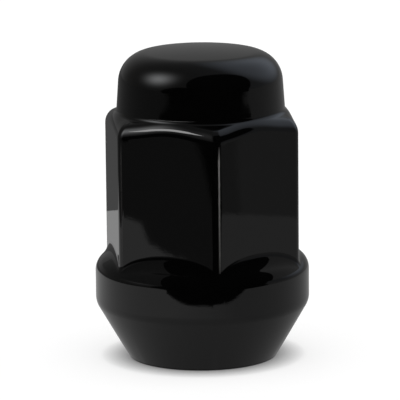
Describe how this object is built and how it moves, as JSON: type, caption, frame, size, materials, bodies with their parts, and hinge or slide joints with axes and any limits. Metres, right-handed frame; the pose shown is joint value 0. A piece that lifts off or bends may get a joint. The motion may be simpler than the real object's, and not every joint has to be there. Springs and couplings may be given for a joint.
{
  "type": "lug nut",
  "caption": "Closed-end hex lug nut with a domed cap, a bulged conical seat and a blind threaded hole; clamps a road wheel onto its stud.",
  "frame": {"origin": "centre of the flat ring at the seat end, on the thread axis, which is the surface that the nut stands on", "axes": "+Z along the thread axis from the seat end to the domed cap; +X through a hex corner; +Y out of a hex flat"},
  "size_m": [0.0248, 0.0248, 0.036],
  "materials": {
    "black_coat": "gloss black coat over forged steel"
  },
  "bodies": {
    "root": {"lug_nut": "black_coat"}
  },
  "joints": []
}
